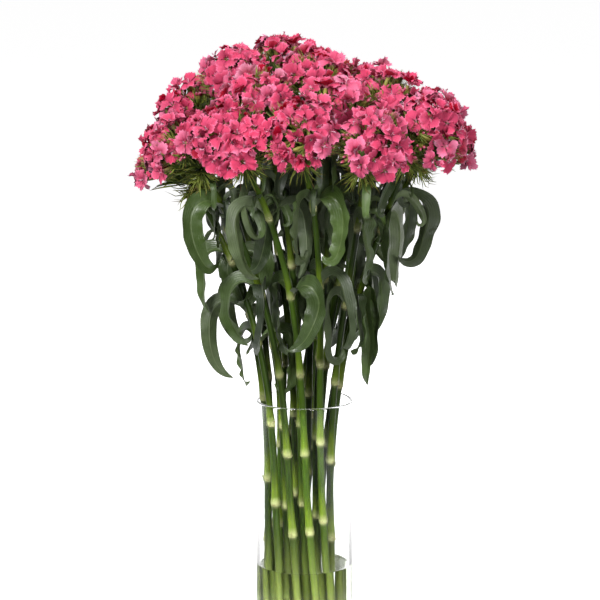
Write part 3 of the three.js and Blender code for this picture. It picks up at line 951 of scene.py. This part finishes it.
def spread_florets(stalks):
    """(each floret's head, its direction from that head's middle), evenly spread over the whole dome"""
    rng = np.random.default_rng(FLORET_SEED)
    centres = np.array([stalk.centre for stalk in stalks])
    axes = np.array([stalk.axis for stalk in stalks])
    own = rng.integers(0, len(stalks), FLORET_TRIES)
    headings = unit(rng.normal(size=(FLORET_TRIES, 3)))

    def fits(own, headings):
        points = centres[own] + headings * HEAD_RADIUS
        upright = (headings * axes[own]).sum(1) > math.cos(math.radians(FLORET_LIMIT))
        return upright & (head_room(centres, own, points) > FLORET_MARGIN)

    kept = fits(own, headings)
    own, headings = own[kept], headings[kept]
    points = centres[own] + headings * HEAD_RADIUS
    chosen = []
    for k in range(len(points)):
        if all(np.linalg.norm(points[k] - points[j]) > FLORET_SPACING * FIRST_SPACING for j in chosen):
            chosen.append(k)
    own, headings = own[chosen], headings[chosen]
    for _ in range(SPREADING_ROUNDS):
        points = centres[own] + headings * HEAD_RADIUS
        away = points[:, None] - points[None]
        distance = np.linalg.norm(away, axis=2)
        near = (distance < FLORET_SPACING) & (distance > 0)
        with np.errstate(invalid="ignore", divide="ignore"):
            push = np.where(near[..., None], away * ((FLORET_SPACING / distance - 1) * PUSH)[..., None], 0)
        moved = unit(points + push.sum(1) - centres[own])
        good = fits(own, moved)
        headings = np.where(good[:, None], moved, headings)
    return own, headings


# ---- florets ----
PETAL_FACES = grid_faces(len(PETAL_ROWS), len(PETAL_COLUMNS))
PETAL_PLACES = np.stack(np.meshgrid(PETAL_COLUMNS / 2 + 0.5, PETAL_ROWS), -1)


def petal_sheet(length, pitch, bend, cup, ruffle, twist, rng):
    """A petal's points: x outwards from the throat, y across, z up. It is a fan with a toothed rim."""
    u = PETAL_ROWS[:, None]
    v = PETAL_COLUMNS[None]
    phase = rng.uniform(0, 6.3)
    pleats = np.cos(math.pi * np.arange(len(PETAL_COLUMNS)))[None]
    teeth = rng.uniform(0, 0.12, len(PETAL_COLUMNS))[None] + 0.05 * (1 + pleats)
    rim = 1 - 0.26 * np.abs(v) ** 2.6
    reach = length * u * (1 - (1 - rim) * u**2 - teeth * u**5)
    turn = np.radians(PETAL_SPREAD) * v * (0.55 + 0.45 * smooth(0, 0.65, u))
    x = reach * np.cos(turn)
    y = reach * np.sin(turn)
    z = -2.6 * mm * (1 - smooth(0, 0.3, u)) + bend * length * u**2 + cup * length * u * v**2
    z = z + ruffle * u**2 * (np.sin(v * 4.2 + phase) + 0.5 * np.sin(v * 8.5 + 2 * phase))
    z = z + 0.34 * mm * pleats * u**2 - 0.6 * mm * u * np.exp(-((v / 0.2) ** 2))
    y, z = y * math.cos(twist) - z * math.sin(twist), y * math.sin(twist) + z * math.cos(twist)
    x, z = x * math.cos(pitch) - z * math.sin(pitch), x * math.sin(pitch) + z * math.cos(pitch)
    return np.stack([x, y, z], -1).reshape(-1, 3)


def add_floret(growth, centre, heading, rng, openness, deep):
    """Five petals round a throat, with a few stamens. deep is 1 for a floret low down in its head, and
    darkens its colour as painted shade.
    """
    side, face = square_to(heading)
    axes = np.stack([side, face, heading])
    spin = rng.uniform(0, FULL_TURN)
    size = PETAL_LENGTH * rng.uniform(0.88, 1.08)
    # Florets deep in their head get a darker, redder colour: painted shade.
    hue_and_depth_shade = rng.uniform(0.1, 1) ** 2.4 * (1 - 0.7 * deep)
    for k in range(PETALS):
        turn = spin + k * FULL_TURN / PETALS + rng.normal(0, 0.06)
        pitch = math.radians(openness + rng.normal(0, 12))
        bend, cup = rng.uniform(-0.5, 0.16), rng.uniform(-0.22, 0.36)
        ruffle, twist = rng.uniform(0.6, 2.1) * mm, math.radians(rng.uniform(2, 22))
        sheet = petal_sheet(size * rng.uniform(0.93, 1.05), pitch, bend, cup, ruffle, twist, rng)
        cos, sin = math.cos(turn), math.sin(turn)
        turned = sheet @ np.array([[cos, sin, 0], [-sin, cos, 0], [0, 0, 1]])
        tint = (hue_and_depth_shade, rng.uniform(0, 1), 0, 1)
        growth.add(centre + turned @ axes, PETAL_FACES, PETAL_PLACES, tint, PETAL_FINISH)
    for _ in range(STAMENS_EACH):
        out = outward(side, face, rng.uniform(0, FULL_TURN))
        length = rng.uniform(1.5, 4.5) * mm
        lean = rng.uniform(0.1, 0.6)
        path = [
            centre - heading * 3 * mm,
            centre + (heading + out * lean * 0.5) * length * 0.5,
            centre + (heading + out * lean) * length,
            centre + (heading + out * lean) * (length + 0.9 * mm),
        ]
        radii = np.array([0.16, 0.15, 0.34, 0.18]) * mm
        growth.add_tube(path, radii, 3, (hue_and_depth_shade, 0, 0, 1), STAMEN_FINISH)


def add_needle(growth, root, tip, bow, radius, tone, red):
    """An awl-shaped bract from root to tip, bowed by a vector at its middle."""
    shares = np.array([0, 0.3, 0.65, 1])
    path = [lerp(root, tip, share) + bow * 4 * share * (1 - share) for share in shares]
    radii = radius * np.array([0.7, 1, 0.7, 0.08])
    growth.add_tube(path, radii, 3, (tone, red, 0, 1), BRACT_FINISH, flat=0.55)


def add_calyx(growth, base, centre, heading, rng):
    """The green tube that holds a floret, on its stalklet, with bracts beside it."""
    side, face = square_to(heading)
    tone = rng.uniform(0, 1)
    foot = centre - heading * CALYX_BELOW
    bow = (foot - base) * 0.5
    path = [base, base + bow + heading * 1.5 * mm, foot, foot + heading * 1 * mm, foot + heading * 7 * mm]
    path.append(centre - heading * 2.2 * mm)
    radii = np.array([0.9, 0.8, 0.9, 1.7, 2.0, 1.7]) * mm
    growth.add_tube(path, radii, 6, (tone * 0.7, 0.35, 0, 1), BRACT_FINISH)
    for _ in range(CALYX_BRACTS):
        out = outward(side, face, rng.uniform(0, FULL_TURN))
        root = foot + out * 1.2 * mm
        tip = foot + heading * rng.uniform(10, 17) * mm + out * rng.uniform(3, 8) * mm
        add_needle(growth, root, tip, out * 1.5 * mm, 0.75 * mm, rng.uniform(0, 1), rng.uniform(0, 1))


def add_bud_tuft(growth, base, centre, heading, rng):
    """A tuft of needles with a few closed buds, where no floret has opened."""
    side, face = square_to(heading)
    foot = centre - heading * TUFT_BELOW
    stalklet = [base, (base + foot) / 2, foot]
    growth.add_tube(stalklet, np.array([1, 1, 1.3]) * mm, 6, (0.3, 0, 0, 1), BRACT_FINISH)
    for _ in range(TUFT_NEEDLES):
        out = outward(side, face, rng.uniform(0, FULL_TURN))
        reach = rng.uniform(0.1, 1) * 12 * mm
        rise = rng.uniform(15, 25) * mm - reach * 0.35
        tip = foot + heading * rise + out * reach
        tone, red = rng.uniform(0, 1), rng.uniform(0, 1) ** 2
        add_needle(growth, foot + out * 1 * mm, tip, out * reach * 0.25, 0.65 * mm, tone, red)
    for _ in range(TUFT_BUDS):
        out = outward(side, face, rng.uniform(0, FULL_TURN))
        reach = rng.uniform(1, 5) * mm
        top = foot + heading * rng.uniform(12, 17) * mm + out * reach
        path = [foot, lerp(foot, top, 0.35), lerp(foot, top, 0.7), top]
        tint = (rng.uniform(0.3, 0.9), 0.6, 0, 1)
        growth.add_tube(path, np.array([1, 1.7, 1.9, 1.3]) * mm, 6, tint, BRACT_FINISH)
        up = unit(top - foot)
        path = [top - up * 1 * mm, top + up * 1.5 * mm, top + up * 3.5 * mm, top + up * 5 * mm]
        growth.add_tube(path, np.array([1.1, 1.7, 1.2, 0.2]) * mm, 6, (0.4, 0.8, 0, 1), BUD_FINISH)


# ---- the green of a head ----
def add_collar(growth, stalk, rng):
    """The needles that spread below a head."""
    side, face = square_to(stalk.axis)
    axis, top = np.array(stalk.axis), np.array(stalk.top)
    for k in range(COLLAR_NEEDLES):
        out = outward(side, face, FULL_TURN * (k + rng.uniform(-0.4, 0.4)) / COLLAR_NEEDLES)
        lean = math.radians(rng.uniform(50, 150))
        length = rng.uniform(14, 30) * mm
        root = top + out * 2 * mm - axis * rng.uniform(0, 6) * mm
        tip = root + (out * math.sin(lean) + axis * math.cos(lean)) * length
        bow = (out * 0.1 - axis * rng.uniform(-0.05, 0.25)) * length + rng.normal(0, 1, 3) * mm
        add_needle(growth, root, tip, bow, 0.8 * mm, rng.uniform(0.2, 1.3), rng.uniform(0, 1) ** 2)


def add_core(growth, stalk, rng):
    """The close-set stalklets and calyces deep in a head, as one furrowed cushion. Its closed sheet and
    darkest bract tone are also painted shade that fills the gaps between them.
    """
    side, face = square_to(stalk.axis)
    centre, axis = np.array(stalk.centre), np.array(stalk.axis)
    rows, columns = CORE_GRID
    points, places = [], []
    for row in range(rows):
        down = math.radians(lerp(0, CORE_REACH, row / (rows - 1)))
        reach = lerp(CORE_RADIUS, CORE_FOOT, float(smooth(60, 120, math.degrees(down))))
        for column in range(columns):
            out = outward(side, face, FULL_TURN * column / columns) * math.sin(down) + axis * math.cos(down)
            points.append(centre + out * (reach + rng.uniform(-3, 3) * mm))
            places.append((column % 2, 0.5 * row / rows))
    # The darkest bract tone: painted shade deep in the head.
    growth.add(points, tube_faces(rows, columns), places, (0.1, 0.1, 0, 1), BRACT_FINISH)


def add_undergrowth(growth, stalk, rng):
    """The needles that stand up among the florets' stalklets and close the head from below."""
    centre, top, axis = np.array(stalk.centre), np.array(stalk.top), np.array(stalk.axis)
    for heading in unit(rng.normal(size=(UNDERGROWTH, 3))):
        if heading @ axis < -0.25:
            heading = heading - 2 * (heading @ axis) * axis
        heading = unit(heading + axis * 0.1)
        root = lerp(top, centre, 0.4) + heading * rng.uniform(4, 16) * mm
        tip = centre + heading * rng.uniform(27, 39) * mm
        bow = rng.normal(0, 1.8, 3) * mm
        add_needle(growth, root, tip, bow, 1.2 * mm, rng.uniform(0, 0.8), rng.uniform(0, 0.6))


def add_florets(greenery, bloom, stalk, headings, room, rng):
    """The head's florets on their calyces. Buds stand in place of some, most often at the head's edge."""
    centre, top = np.array(stalk.centre), np.array(stalk.top)
    for heading, inside in zip(headings, room):
        if rng.uniform() < (TUFT_CHANCE_AT_EDGE if inside < HEAD_EDGE else TUFT_CHANCE):
            add_bud_tuft(greenery, top, centre + heading * HEAD_RADIUS, heading, rng)
            continue
        tilt = unit(heading + rng.normal(0, FLORET_TILT, 3))
        deep = rng.uniform(0, 1)
        place = centre + heading * (HEAD_RADIUS - (FLORET_SUNK * deep - FLORET_PROUD) * mm)
        openness = rng.choice(OPENNESS, p=OPENNESS_SHARES)
        add_floret(bloom, place, tilt, rng, openness, deep)
        add_calyx(greenery, top, place, tilt, rng)


def dress_bunch():
    stalks = lay_out()
    own, headings = spread_florets(stalks)
    centres = np.array([stalk.centre for stalk in stalks])
    room = head_room(centres, own, centres[own] + headings * HEAD_RADIUS)
    for k, stalk in enumerate(stalks):
        rng = np.random.default_rng(HEAD_SEED + stalk.number)
        greenery, bloom = Growth(), Growth()
        add_stem(greenery, stalk)
        add_leaves(greenery, stalk)
        add_young_leaves(greenery, stalk)
        add_collar(greenery, stalk, rng)
        add_core(greenery, stalk, rng)
        add_undergrowth(greenery, stalk, rng)
        add_florets(greenery, bloom, stalk, headings[own == k], room[own == k], rng)
        greenery.piece(f"stem_{stalk.label}_greenery", GREENERY, "foliage", f"leafy_stem_{stalk.label}")
        bloom.piece(f"head_{stalk.label}_florets", BLOOM, "petals", f"flower_head_{stalk.label}")


make_vase()
make_water()
dress_bunch()


# ---- stage ----
WHITE = (1, 1, 1, 1)
BLACK = (0, 0, 0, 1)
DARK_ROOM = (0.02, 0.02, 0.02, 1)  # what a gloss mirrors away from the bright side
FLOOR_BOUNCE = (0.16, 0.16, 0.16, 1)
ROOM_LIGHT = (0.06, 0.06, 0.06, 1)
FLOOR_SIZE = 60
FLOOR_DROP = 0.5 * mm
FLOOR_GLOW = 0.88
LAMPS = {  # name: (place, height aimed at, width, watts)
    "key": ((-1.1, -1.9, 1.75), 0.45, 0.8, 62),
    "fill": ((0.9, -2.3, 0.85), 0.5, 0.9, 28),
    "top": ((0.1, 0.1, 2.4), 0.5, 1.0, 16),
    "back": ((0.9, 2.3, 1.5), 0.4, 1.2, 32),
}


def seen_glow(tree, bright_side):
    """(what is looked at, mask of what lights a matt surface). What is looked at, also through glass, is
    white, but a gloss mirrors white on the bright side of the room alone."""
    path = put(tree, "ShaderNodeLightPath")
    mirrored = blended(tree, bright_side, DARK_ROOM, WHITE)
    in_gloss = maths(tree, "GREATER_THAN", path.outputs["Glossy Depth"], 0.5)
    looked_at = blended(tree, in_gloss, WHITE, mirrored)
    return looked_at, maths(tree, "GREATER_THAN", path.outputs["Diffuse Depth"], 0.5)


def lay_floor():
    """A white floor. Gloss mirrors it behind the vase, round its foot and in a faint strip at its right."""
    bpy.ops.mesh.primitive_plane_add(size=FLOOR_SIZE, location=(0, 0, -FLOOR_DROP))
    floor = bpy.context.object
    floor.name = "floor"
    material, tree, shader = new_material("floor")
    where = object_place(tree)
    x, y, _ = split(tree, where)
    strip = times(tree, ranged(tree, x, 0.5, 0.7, 0.0, 0.3), fading(tree, x, 0.9, 1.1))
    from_foot = put(tree, "ShaderNodeVectorMath", {"operation": "LENGTH"}, Vector=where).outputs["Value"]
    near = maths(tree, "MAXIMUM", fading(tree, from_foot, 0.2, 0.45), ranged(tree, y, 0.0, 1.0))
    looked_at, lit = seen_glow(tree, maths(tree, "MAXIMUM", strip, near))
    feed(tree, shader, Base_Color=blended(tree, lit, looked_at, FLOOR_BOUNCE), Roughness=1)
    feed(tree, shader, Emission_Color=blended(tree, lit, looked_at, BLACK), Emission_Strength=FLOOR_GLOW)
    feed(tree, shader, Specular_IOR_Level=0)
    floor.data.materials.append(material)


def light_world():
    """White to look at, and a softer white to be lit by."""
    world = bpy.data.worlds.new("studio")
    world.use_nodes = True
    tree = world.node_tree
    _, y, z = split(tree, put(tree, "ShaderNodeTexCoord").outputs["Generated"])
    back_and_up = maths(tree, "ADD", y, times(tree, z, 0.8))
    looked_at, lit = seen_glow(tree, ranged(tree, back_and_up, -0.1, 0.5))
    feed(tree, tree.nodes["Background"], Color=blended(tree, lit, looked_at, ROOM_LIGHT))
    bpy.context.scene.world = world


def hang_lamp(name, place, aim, width, power):
    lamp = bpy.data.lights.new(name, "AREA")
    lamp.shape = "DISK"
    lamp.size = width
    lamp.energy = power
    holder = join_scene(name, lamp)
    holder.location = place
    heading = Vector((0, 0, aim)) - Vector(place)
    holder.rotation_euler = heading.to_track_quat("-Z", "Y").to_euler()


lay_floor()
light_world()
for name, settings in LAMPS.items():
    hang_lamp(name, *settings)
bpy.context.scene.view_settings.view_transform = "Standard"
